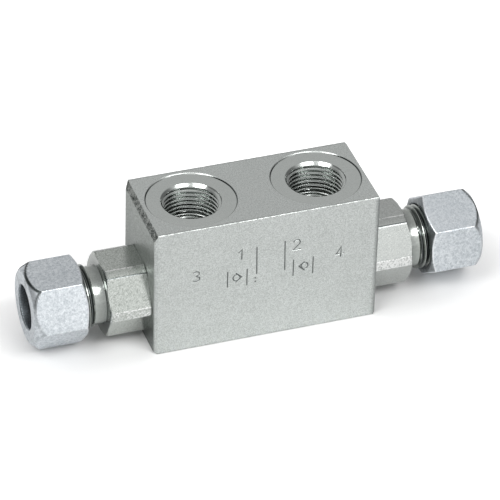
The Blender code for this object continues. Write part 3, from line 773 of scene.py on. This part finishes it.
fitting = {
    "nose": 24.95, "noseRadius": 9.05, "studRadius": 9.6, "studBreak": 0.6, "studThreadStart": 9.1,
    "hexStart": 32.28, "hexEnd": 44.0, "neckLength": 4.0, "stubEnd": 56.3,
    "turn": {"left": 0.0, "right": 4.7}, "bar": 11.9, "flat": 10.9, "edgeBlend": 0.07, "barBlend": 0.05,
    "endBreak": 0.4,
    "innerBreak": [(0.0, 11.6), (0.05, 11.8), (0.15, 11.95), (0.4, 12.5)],     # along the hexagon, radius
    "hexRows": [2.0, 4.0, 6.0, 8.0, 10.0], "outerRows": [0.9, 0.6, 0.45, 0.3, 0.2, 0.1, 0.0],
    "endRadius": 10.3, "neck": 8.2, "neckFillet": 0.3, "neckRun": 0.75, "rise": 2.5, "tipBreak": 0.7,
    "studThread": {"pitch": 1.5, "crest": 9.7, "root": 8.9,
                   "profile": [(0.0, 1.0), (0.12, 1.0), (0.3, 0.5), (0.48, 0.03), (0.56, 0.0), (0.64, 0.03),
                               (0.82, 0.5)]},
    "stubThread": {"pitch": 1.5, "crest": 9.0, "root": 8.1,
                   "profile": [(0.0, 1.0), (0.12, 1.0), (0.21, 0.75), (0.3, 0.5), (0.39, 0.25), (0.48, 0.03),
                               (0.56, 0.0), (0.64, 0.03), (0.73, 0.25), (0.82, 0.5), (0.91, 0.75)]},
    "undercut": 8.9, "undercutLength": 2.6, "undercutSlope": 0.7, "studEndGap": 0.9,
    "nosePocket": 7.4, "nosePocketLength": 4.7, "springBore": 6.2, "shoulder": 41.07,
    "through": 3.5, "socket": 6.1, "socketDepth": 7.0, "coneMouth": 7.0, "coneAngle": 12.0,
    "edgeOffsets": [0, 4.6, 9.2, 13.8, 18.4, 21.6, 23.0, 23.5, 23.9, 24.5, 26.0, 28.0, 30.0],
    "finish": {"left": "fittingZinc", "right": "fittingZincFine"},
    # worn edges, partly a painted highlight; the land facing the viewer is a painted highlight
    "wear": {"edges": 0.8, "edgeWidth": 0.18, "above": 10.4,
             "land": {"left": 0.5, "right": 0.66}, "landAngle": 6.5, "landRadius": 11.6},
    # painted shade in the thread roots, on the upper land, in the neck's fillet and round the hexagon's end
    "paintedShade": {"roots": 0.85, "rootRadii": (7.9, 8.8), "rootBlend": 0.4, "land": 0.93, "landRadius": 11.5,
             "landAngles": (23.3, 24.9), "landHeight": 6.0, "fillet": 0.45, "filletRadius": 9.0,
             "filletLength": 0.4, "rim": 0.6, "rimWidth": 0.2},
}


def makeFitting(side):
    f = fitting
    turn, stub = f["turn"][side], f["stubThread"]
    angles = hexAngles(turn, f["edgeOffsets"])
    away = toFlat(angles, turn)
    lead = -sides[side] * stub["pitch"]
    hexStart, hexEnd, stubEnd, nose = f["hexStart"], f["hexEnd"], f["stubEnd"], f["nose"]
    neckEnd = hexEnd + f["neckLength"]
    coneLength = (f["coneMouth"] - f["socket"]) / math.tan(math.radians(f["coneAngle"]))

    def hexRow(x, chamfer):
        wide = f["flat"] / np.cos(away)
        wide = softMin(np.full(angles.shape, f["bar"]), wide, f["edgeBlend"])
        return (np.full(angles.shape, x), softMin(wide, np.full(angles.shape, chamfer), f["barBlend"]))

    studStart = nose + f["studBreak"]
    studEnd = hexStart - f["undercutLength"] - f["studEndGap"]
    rows = turnedRows([(nose, f["nosePocket"]), (nose, f["noseRadius"]), (studStart, f["studRadius"])],
                      angles, 0.1)
    rows += threadRows(f["studThread"], studStart, studEnd, lead, angles,
                       lambda reach, value: np.minimum(value, f["studThreadStart"] + (reach - nose)))
    rows += turnedRows([(studEnd, f["studRadius"]), (studEnd + f["undercutSlope"], f["undercut"]),
                        (hexStart, f["undercut"])], angles)
    chamfers = f["innerBreak"] + [(s, 13.0) for s in f["hexRows"]]
    chamfers += [(hexEnd - hexStart - s, f["bar"] - 2 * f["endBreak"] + s * 2) for s in f["outerRows"]]
    rows += [hexRow(hexStart + s, c) for s, c in chamfers]
    stubStart = neckEnd - f["neckRun"]
    rows += turnedRows([(hexEnd, f["endRadius"]), (hexEnd, f["neck"] + 0.02, f["neckFillet"]),
                        (stubStart - 0.05, f["neck"], 0.15), (stubStart, f["neck"] + 0.02)], angles, 0.1)

    def stubEnvelope(reach, value):
        rise = f["neck"] + (reach - stubStart) * f["rise"]
        fall = stub["crest"] + (stubEnd - f["tipBreak"] - reach)
        return np.minimum(np.minimum(value, rise), fall)

    rows += threadRows(stub, stubStart, stubEnd - 0.1, lead, angles, stubEnvelope)
    bottom, pocket = stubEnd - f["socketDepth"], nose + f["nosePocketLength"]
    rows += turnedRows([(stubEnd - 0.1, 8.35), (stubEnd, 8.3), (stubEnd, f["coneMouth"]),
                        (stubEnd - coneLength, f["socket"]), (bottom, f["socket"]), (bottom, f["through"]),
                        (f["shoulder"], f["through"]), (f["shoulder"], f["springBore"]),
                        (pocket, f["springBore"]), (pocket, f["nosePocket"]), (nose, f["nosePocket"])],
                       angles, 0.08)
    thing = makeTurned("fitting_", rows, angles, side, [f["finish"][side], "turnedZinc"], 28)
    for face in thing.data.polygons:
        x, y, z = (v / mm for v in face.center)
        outside = hexStart < abs(x) < hexEnd - 0.02 and math.hypot(y, z - boreHeight) > 10.2
        face.material_index = 0 if outside else 1

    # Near 1 along the borders between lands and flats, worn edges that are partly a painted highlight, and on
    # the land that faces the viewer, a painted highlight.
    def edgeMask(p):
        w = f["wear"]
        reach, radius, angle = polar(p, side)
        wide = f["flat"] / np.cos(toFlat(angle, turn))
        near = 1 - np.abs(wide - f["bar"]) / w["edgeWidth"]
        inside = within(reach, hexStart, hexEnd + 0.05) * (radius > w["above"])
        land = (np.abs(np.degrees(angle) - turn) < w["landAngle"]) * (radius > w["landRadius"])
        return np.maximum(np.clip(near, 0, 1) * w["edges"], land * w["land"][side]) * inside

    # Painted shade in the stub's thread roots, on the upper land, in the neck's fillet and round the
    # hexagon's end.
    def paintedShadeMask(p):
        d = f["paintedShade"]
        reach, radius, angle = polar(p, side)
        low, high = d["rootRadii"]
        roots = within(reach, neckEnd - 0.3, stubEnd - 0.8) * (radius > low)
        roots = roots * np.clip((high - radius) / d["rootBlend"], 0, d["roots"])
        off = np.degrees(toFlat(angle, turn))
        land = (reach < hexEnd - 0.1) * (radius > d["landRadius"]) * within(off, *d["landAngles"])
        land = land * (p[:, 2] > boreHeight + d["landHeight"]) * d["land"]
        fillet = within(reach, hexEnd - 0.02, hexEnd + d["filletLength"]) * (radius < d["filletRadius"])
        gap = f["flat"] / np.cos(np.radians(off)) - (f["bar"] - 2 * f["endBreak"] + (hexEnd - reach) * 2)
        rim = np.clip(1 - np.abs(gap) / d["rimWidth"], 0, 1) * (reach < hexEnd + 0.01) * (radius > 10.4)
        return np.maximum(np.maximum(roots, land), np.maximum(fillet * d["fillet"], rim * d["rim"]))

    attribute(thing, "edge", edgeMask)
    attribute(thing, "darkening", paintedShadeMask)
    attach(thing, "block")
    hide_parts("end_fitting_" + side)


for side in sides:
    makeFitting(side)
print("end fittings made")


# Union nuts

nut = {
    "start": {"left": 49.55, "right": 49.93}, "end": {"left": 65.0, "right": 65.4},
    "flat": 10.85, "turn": {"left": 53.4, "right": 36.6},
    "face": 10.1, "blank": 12.75, "outerBreak": 3.3, "bulge": 0.25, "bulgePower": 0.8, "step": 0.12,
    "endRows": [*np.linspace(3.5, 0.16, 24), 0.1, 0.05, 0.02, 0.0], "endRound": 0.16, "endRoundFrom": 0.12,
    "innerFace": 10.5, "innerSlope": 1.75, "innerLength": 1.5, "innerRows": 31, "wornFacet": 0.42,
    "facetSlope": 0.3, "cutBlend": 0.16, "stepFade": 0.5, "plainStart": 1.7, "plainSpacing": 0.9,
    "bore": 6.2, "counterbore": 9.6, "shoulder": 2.9, "mouthBreak": 0.4,
    "cornerBlend": 0.06, "cornerCut": 0.04,
    "threadMouth": 9.5, "threadSlope": 1.6,
    "thread": {"pitch": 1.5, "crest": 8.2, "root": 9.12,
               "profile": [(0.0, 1.0), (0.1, 1.0), (0.3, 0.5), (0.46, 0.0), (0.58, 0.0), (0.79, 0.5)]},
    "edgeOffsets": [0, 5, 10, 15, 20, 24, 26.5, 28, 28.8, 29.3, 29.6, 29.82, 30.0],
    # worn edges, partly a painted highlight
    "wear": {"corners": 0.5, "cornerWidth": 0.30, "cornerRadius": 12.5, "onFlat": 0.25, "arcs": 0.7,
             "arcWidth": 0.14, "arcInset": 0.02, "back": 1.5, "backWidth": 0.3, "backInset": 0.12,
             "backLength": 1.6, "above": 10.2},
    # painted shade on the cones beside the flats and on the inner cone
    "paintedShade": {"sharpness": 9.0, "width": 0.85, "fade": 4.0, "upward": (2.2, 0.8), "least": 0.15,
             "inner": 0.55, "innerStart": 0.25, "innerSharpness": 3.0, "innerLength": 1.3, "above": 6.5},
}


# Radius of the turned blank at a distance s from the nut's outer end, down its bulging chamfer.
def blankRadius(s):
    t = np.clip(np.asarray(s) / nut["outerBreak"], 0, 1)
    bulge = nut["bulge"] * np.sin(math.pi * t ** nut["bulgePower"])
    return nut["face"] + (nut["blank"] - nut["face"]) * t + bulge


def makeNut(side):
    u = nut
    turn = u["turn"][side]
    angles = hexAngles(turn, u["edgeOffsets"])
    start, end = u["start"][side], u["end"][side]
    corner = u["flat"] / math.cos(math.radians(30))
    hexRadius = u["flat"] / np.cos(toFlat(angles, turn))
    # the corners are a little rounded
    hexRadius = softMin(hexRadius, np.full(angles.shape, corner - u["cornerCut"]), u["cornerBlend"])

    # One row of the hexagon, cut down to the blank's radius, with a worn facet beside the cut.
    def outerRow(x, blank, step=0.0, facet=-1.0):
        gap = hexRadius - blank
        cut = np.clip(gap / u["cutBlend"], 0, 1)
        cut = cut * cut * (3 - 2 * cut)
        drop = cut * (gap + step * np.exp(-np.maximum(gap, 0) / u["stepFade"]))
        drop = np.maximum(drop, (gap + facet) * u["facetSlope"])
        return (np.full(angles.shape, x), hexRadius - np.maximum(drop, 0))

    rows = [outerRow(start + s, u["innerFace"] + s * u["innerSlope"], 0.0, u["wornFacet"])
            for s in np.linspace(0.0, u["innerLength"], u["innerRows"])]
    plainEnd = end - start - u["outerBreak"] - 0.3
    rows += [outerRow(start + s, 20.0) for s in np.arange(u["plainStart"], plainEnd, u["plainSpacing"])]
    for s in u["endRows"]:
        inset = u["endRound"] * max(0.0, 1 - s / u["endRoundFrom"]) ** 2
        rows.append(outerRow(end - s, blankRadius(s) - inset, u["step"]))
    seat = start + u["counterbore"]
    rows += turnedRows([(end, u["face"] - 0.2), (end, 8.0, 0), (end, u["bore"] + u["mouthBreak"], 0.1),
                        (end - u["mouthBreak"], u["bore"], 0.1), (seat + u["shoulder"], u["bore"]),
                        (seat, u["thread"]["root"]), (seat - 0.3, 9.1)], angles, 0.1)
    innerStart = start + 0.05
    lead = -sides[side] * u["thread"]["pitch"]
    mouth, slope = u["threadMouth"], u["threadSlope"]
    inner = threadRows(u["thread"], innerStart, seat - 0.32, lead, angles,
                       lambda reach, value: np.maximum(value, mouth - (reach - start) * slope))
    rows += reversed(inner)
    rows += turnedRows([(innerStart, mouth), (start, 9.7), (start, 10.2)], angles, 0.08)
    thing = makeTurned("nut_", rows, angles, side, ["nutZinc", "nutBoreShaded"], 30)
    for face in thing.data.polygons:
        x, y, z = (v / mm for v in face.center)
        radius = math.hypot(y, z - boreHeight)
        inside = radius < u["bore"] + u["mouthBreak"] * 0.6 or (abs(x) < end - 1 and radius < 9.6)
        face.material_index = 1 if inside else 0

    # Worn edges, partly a painted highlight: on the corners, along the arcs where the flats meet the outer
    # cone, and at the inner end.
    def edgeMask(p):
        w = u["wear"]
        reach, radius, angle = polar(p, side)
        off = np.abs(toFlat(angle, turn))
        flatRadius = u["flat"] / np.cos(off)
        corners = 1 - (math.radians(30) - off) * w["cornerRadius"] / w["cornerWidth"]
        corners = corners * (np.abs(radius - flatRadius) < w["onFlat"]) * w["corners"]
        arcs = 1 - np.abs(flatRadius - blankRadius(end - reach) - w["arcInset"]) / w["arcWidth"]
        cone = u["innerFace"] + (reach - start) * u["innerSlope"]
        back = w["back"] - np.abs(flatRadius - cone + w["backInset"]) / w["backWidth"]
        back = back * (reach < start + w["backLength"])
        return np.maximum(np.maximum(corners, arcs * w["arcs"]), back) * (radius > w["above"])

    # Painted shade: a dark crescent on the cones beside the flats, darkest above, and painted shade on the
    # inner cone.
    def paintedShadeMask(p):
        d = u["paintedShade"]
        reach, radius, angle = polar(p, side)
        flatRadius = u["flat"] / np.cos(toFlat(angle, turn))
        gap = flatRadius - blankRadius(end - reach)
        steep, level = d["upward"]
        upper = np.clip(np.sin(angle) * steep - level, d["least"], 1)
        line = np.clip(gap * d["sharpness"], 0, 1) * np.clip((d["width"] - gap) * d["fade"], 0, 1) * upper
        line = line * (reach > end - u["outerBreak"])
        gap = flatRadius - u["innerFace"] - (reach - start) * u["innerSlope"]
        inner = np.clip((gap - d["innerStart"]) * d["innerSharpness"], 0, d["inner"])
        return (line + inner * (reach < start + d["innerLength"])) * (radius > d["above"])

    attribute(thing, "edge", edgeMask)
    attribute(thing, "darkening", paintedShadeMask)
    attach(thing, "nut_" + side)
    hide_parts("union_nut_" + side)


for side in sides:
    makeNut(side)
print("union nuts made")


# Cutting rings

ring = {
    "bore": 6.1, "lip": 0.25, "collar": 8.4, "collarBreak": 0.6, "collarGap": 0.3, "rearWall": 0.4,
    "stubEnd": 56.3, "mouth": 6.69, "steps": 96,
    "grooves": 3, "grooveStart": 0.5, "grooveSpacing": 0.7, "grooveHalf": 0.12, "grooveDepth": 0.08,
    "coneAngle": 12.0,
}


def makeRing(side):
    r = ring
    low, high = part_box("cutting_ring_" + side)
    lipReach, rear = sorted((abs(low.x) / mm, abs(high.x) / mm))
    collarStart = r["stubEnd"] + r["collarGap"]
    collar, lip, wall = r["collar"], r["bore"] + r["lip"], r["bore"] + r["rearWall"]
    outline = [(lipReach, r["bore"], 0), (lipReach, lip, 0.05)]
    for k in range(r["grooves"]):       # turned biting edges along the nose
        x = lipReach + r["grooveStart"] + r["grooveSpacing"] * k
        crest = lip + (x - lipReach) * math.tan(math.radians(r["coneAngle"]))
        outline += [(x, crest, 0), (x + r["grooveHalf"], crest - r["grooveDepth"], 0),
                    (x + 2 * r["grooveHalf"], crest, 0)]
    outline += [(collarStart, r["mouth"], 0.1), (collarStart, collar - r["collarBreak"]),
                (collarStart + r["collarBreak"], collar), (rear + wall - collar, collar), (rear, wall),
                (rear, r["bore"], 0.05)]
    angles = np.linspace(0, math.tau, r["steps"] + 1)
    thing = makeTurned("ring_", rounded(outline, 0.12, 2), angles, side, ["ringSteel"])
    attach(thing, "ring_" + side)
    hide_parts("cutting_ring_" + side)


for side in sides:
    makeRing(side)
print("cutting rings made")


# Check springs, round wire with closed ends

spring = {"wire": 1.0, "mean": 4.1, "turns": 6.5, "closed": 1.0, "closedPitch": 1.1, "around": 12,
          "perTurn": 28, "stroke": 3.5}


def makeSpring(side):
    c, sign = spring, sides[side]
    low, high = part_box("check_spring_" + side)
    near, far = sorted((abs(low.x) / mm, abs(high.x) / mm))
    start, end = near + c["wire"] / 2, far - c["wire"] / 2
    openTurns = c["turns"] - 2 * c["closed"]
    openPitch = (end - start - 2 * c["closed"] * c["closedPitch"]) / openTurns
    count = round(c["turns"] * c["perTurn"])
    bm = bmesh.new()
    rings = []
    for i in range(count + 1):
        turn = c["turns"] * i / count
        reach = start + min(turn, c["closed"]) * c["closedPitch"]
        reach += min(max(turn - c["closed"], 0), openTurns) * openPitch
        reach += max(turn - c["closed"] - openTurns, 0) * c["closedPitch"]
        angle = -sign * math.tau * turn
        out = Vector((0, -math.cos(angle), math.sin(angle)))
        centre = Vector((sign * reach, 0, boreHeight)) + out * c["mean"]
        ringVerts = []
        for k in range(c["around"]):
            a = math.tau * k / c["around"]
            offset = out * math.cos(a) + Vector((1, 0, 0)) * math.sin(a)
            ringVerts.append(bm.verts.new((centre + offset * c["wire"] / 2) * mm))
        rings.append(ringVerts)
    for first, second in zip(rings, rings[1:]):
        for k in range(c["around"]):
            j = (k + 1) % c["around"]
            bm.faces.new((first[k], first[j], second[j], second[k]))
    bm.faces.new(rings[0])
    bm.faces.new(rings[-1])
    thing = makeObject("spring_" + side, bm, [materials["springSteel"]], smoothUnder=50)
    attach(thing, "block")
    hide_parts("check_spring_" + side)
    anchor, keep = (sign * far * mm, 0, boreHeight * mm), 1 - c["stroke"] / (far - near)
    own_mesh(thing)
    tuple(anchor)


for side in sides:
    makeSpring(side)
print("springs made")


# Inner pieces keep their solids and get a finish

innerFinishes = {
    "groundSteel": ["pilot_piston", "seat_ring_left", "seat_ring_right", "check_poppet_left",
                    "check_poppet_right"],
    "blackRubber": ["pilot_piston_o_ring", "seat_o_ring_left", "seat_o_ring_right", "fitting_o_ring_left",
                    "fitting_o_ring_right"],
    "whitePlastic": ["pilot_backup_ring_left", "pilot_backup_ring_right"],
}
for finish, nodes in innerFinishes.items():
    for name in nodes:
        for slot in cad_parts[name].material_slots:
            slot.material = materials[finish]
print("inner pieces finished")


# Camera, at the photograph's view

# Angles are in degrees, and the focal length is in pixels of a picture 500 pixels wide.
camera = {"azimuth": -19.6153, "elevation": 36.1242, "roll": 1.6176, "distance": 1070.64,
          "focalPixels": 3828.27, "across": -0.2526, "upwards": -15.483, "imagePixels": 500}


# From the object towards a viewer or a lamp; the azimuth is from the front towards +X.
def directionTo(azimuth, elevation):
    az, el = math.radians(azimuth), math.radians(elevation)
    return Vector((math.sin(az) * math.cos(el), -math.cos(az) * math.cos(el), math.sin(el)))


def makeCamera():
    roll = math.radians(camera["roll"])
    back = directionTo(camera["azimuth"], camera["elevation"])
    right = Vector((0, 0, 1)).cross(back).normalized()
    up = back.cross(right)
    rightRolled = math.cos(roll) * right + math.sin(roll) * up
    upRolled = -math.sin(roll) * right + math.cos(roll) * up
    place = (back * camera["distance"] - rightRolled * camera["across"] - upRolled * camera["upwards"]) * mm
    data = bpy.data.cameras.new("camera")
    data.sensor_width = 36.0
    data.lens = camera["focalPixels"] / camera["imagePixels"] * data.sensor_width
    data.clip_end = 20
    thing = bpy.data.objects.new("camera", data)
    link(thing)
    matrix = Matrix((rightRolled, upRolled, back)).transposed().to_4x4()
    matrix.translation = place
    thing.matrix_world = matrix
    bpy.context.scene.camera = thing


makeCamera()


# Studio: a pale floor and soft boxes

studio = {
    "floorSize": 6.0, "floorDrop": 0.00002, "floorRough": 0.9, "floorTone": 0.84, "floorToneSeen": 0.94,
    "floorGlow": 0.5, "glowStart": 0.012, "glowEnd": 0.045, "halfLine": 0.05,
    "lamps": {  # azimuth, elevation, distance, width, height, power
        "softboxRight": (25.0, 50.0, 1.0, 0.50, 0.40, 3.8),
        "softboxLeft": (-58.0, 50.0, 1.0, 0.50, 0.40, 3.6),
    },
    "ambient": 0.46,
    "mirroredFront": 1.10, "mirroredBack": 0.60, "frontToBack": (-0.8, 0.05),    # what metal sees of the room
    "mirroredSides": 0.30, "middleToSides": (0.55, 0.85),       # how much of that is left at both sides
}


def makeStudio():
    mesh = bpy.data.meshes.new("floor")
    s = studio["floorSize"]
    mesh.from_pydata([(-s, -s, 0), (s, -s, 0), (s, s, 0), (-s, s, 0)], [], [(0, 1, 2, 3)])
    floor = bpy.data.objects.new("floor", mesh)
    floor.location.z = -studio["floorDrop"]
    link(floor)
    material = bpy.data.materials.new("paleFloor")
    material.use_nodes = True
    n = Nodes(material.node_tree)
    shader = material.node_tree.nodes["Principled BSDF"]
    shader.inputs["Roughness"].default_value = studio["floorRough"]
    shader.inputs["Emission Color"].default_value = (1, 1, 1, 1)
    path = n.add("ShaderNodeLightPath").outputs
    tone = n.ramp(path["Is Camera Ray"], 0.0, 1.0, studio["floorTone"], studio["floorToneSeen"])
    n.link(tone, shader.inputs["Base Color"])
    # the floor turns white away from the object, so its shadow stays close
    place = n.add("ShaderNodeSeparateXYZ", {0: n.add("ShaderNodeTexCoord").outputs["Object"]}).outputs
    along = n.math("SUBTRACT", n.math("ABSOLUTE", place["X"]), studio["halfLine"])
    along = n.math("MAXIMUM", along, 0.0)
    squares = n.math("ADD", n.math("MULTIPLY", along, along), n.math("MULTIPLY", place["Y"], place["Y"]))
    glow = n.ramp(n.math("SQRT", squares), studio["glowStart"], studio["glowEnd"], 0.0, studio["floorGlow"])
    glow = n.math("MULTIPLY", glow, path["Is Camera Ray"])
    n.link(glow, shader.inputs["Emission Strength"])
    mesh.materials.append(material)

    for name, (azimuth, elevation, distance, width, height, power) in studio["lamps"].items():
        data = bpy.data.lights.new(name, "AREA")
        data.shape = "RECTANGLE"
        data.size, data.size_y = width, height
        data.energy = power
        lamp = bpy.data.objects.new(name, data)
        direction = directionTo(azimuth, elevation)
        lamp.location = direction * distance
        lamp.rotation_mode = "QUATERNION"
        lamp.rotation_quaternion = direction.to_track_quat("Z", "Y")
        link(lamp)

    world = bpy.data.worlds.new("studio")
    world.use_nodes = True
    bpy.context.scene.world = world
    n = Nodes(world.node_tree)
    background = world.node_tree.nodes["Background"]
    path = n.add("ShaderNodeLightPath").outputs
    direction = n.add("ShaderNodeTexCoord").outputs["Generated"]
    axes = n.add("ShaderNodeSeparateXYZ", {0: direction}).outputs
    mirrored = n.ramp(axes["Y"], *studio["frontToBack"], studio["mirroredFront"], studio["mirroredBack"])
    sideways = n.ramp(n.math("ABSOLUTE", axes["X"]), *studio["middleToSides"], 1.0, studio["mirroredSides"])
    mirrored = n.math("MULTIPLY", mirrored, sideways)
    level = n.mix(path["Is Glossy Ray"], (studio["ambient"],) * 3 + (1,), mirrored)
    level = n.mix(path["Is Camera Ray"], level, (1, 1, 1, 1))
    n.link(level, background.inputs["Color"])
    background.inputs["Strength"].default_value = 1.0


makeStudio()
bpy.context.scene.view_settings.view_transform = "Standard"
print("camera and studio made")
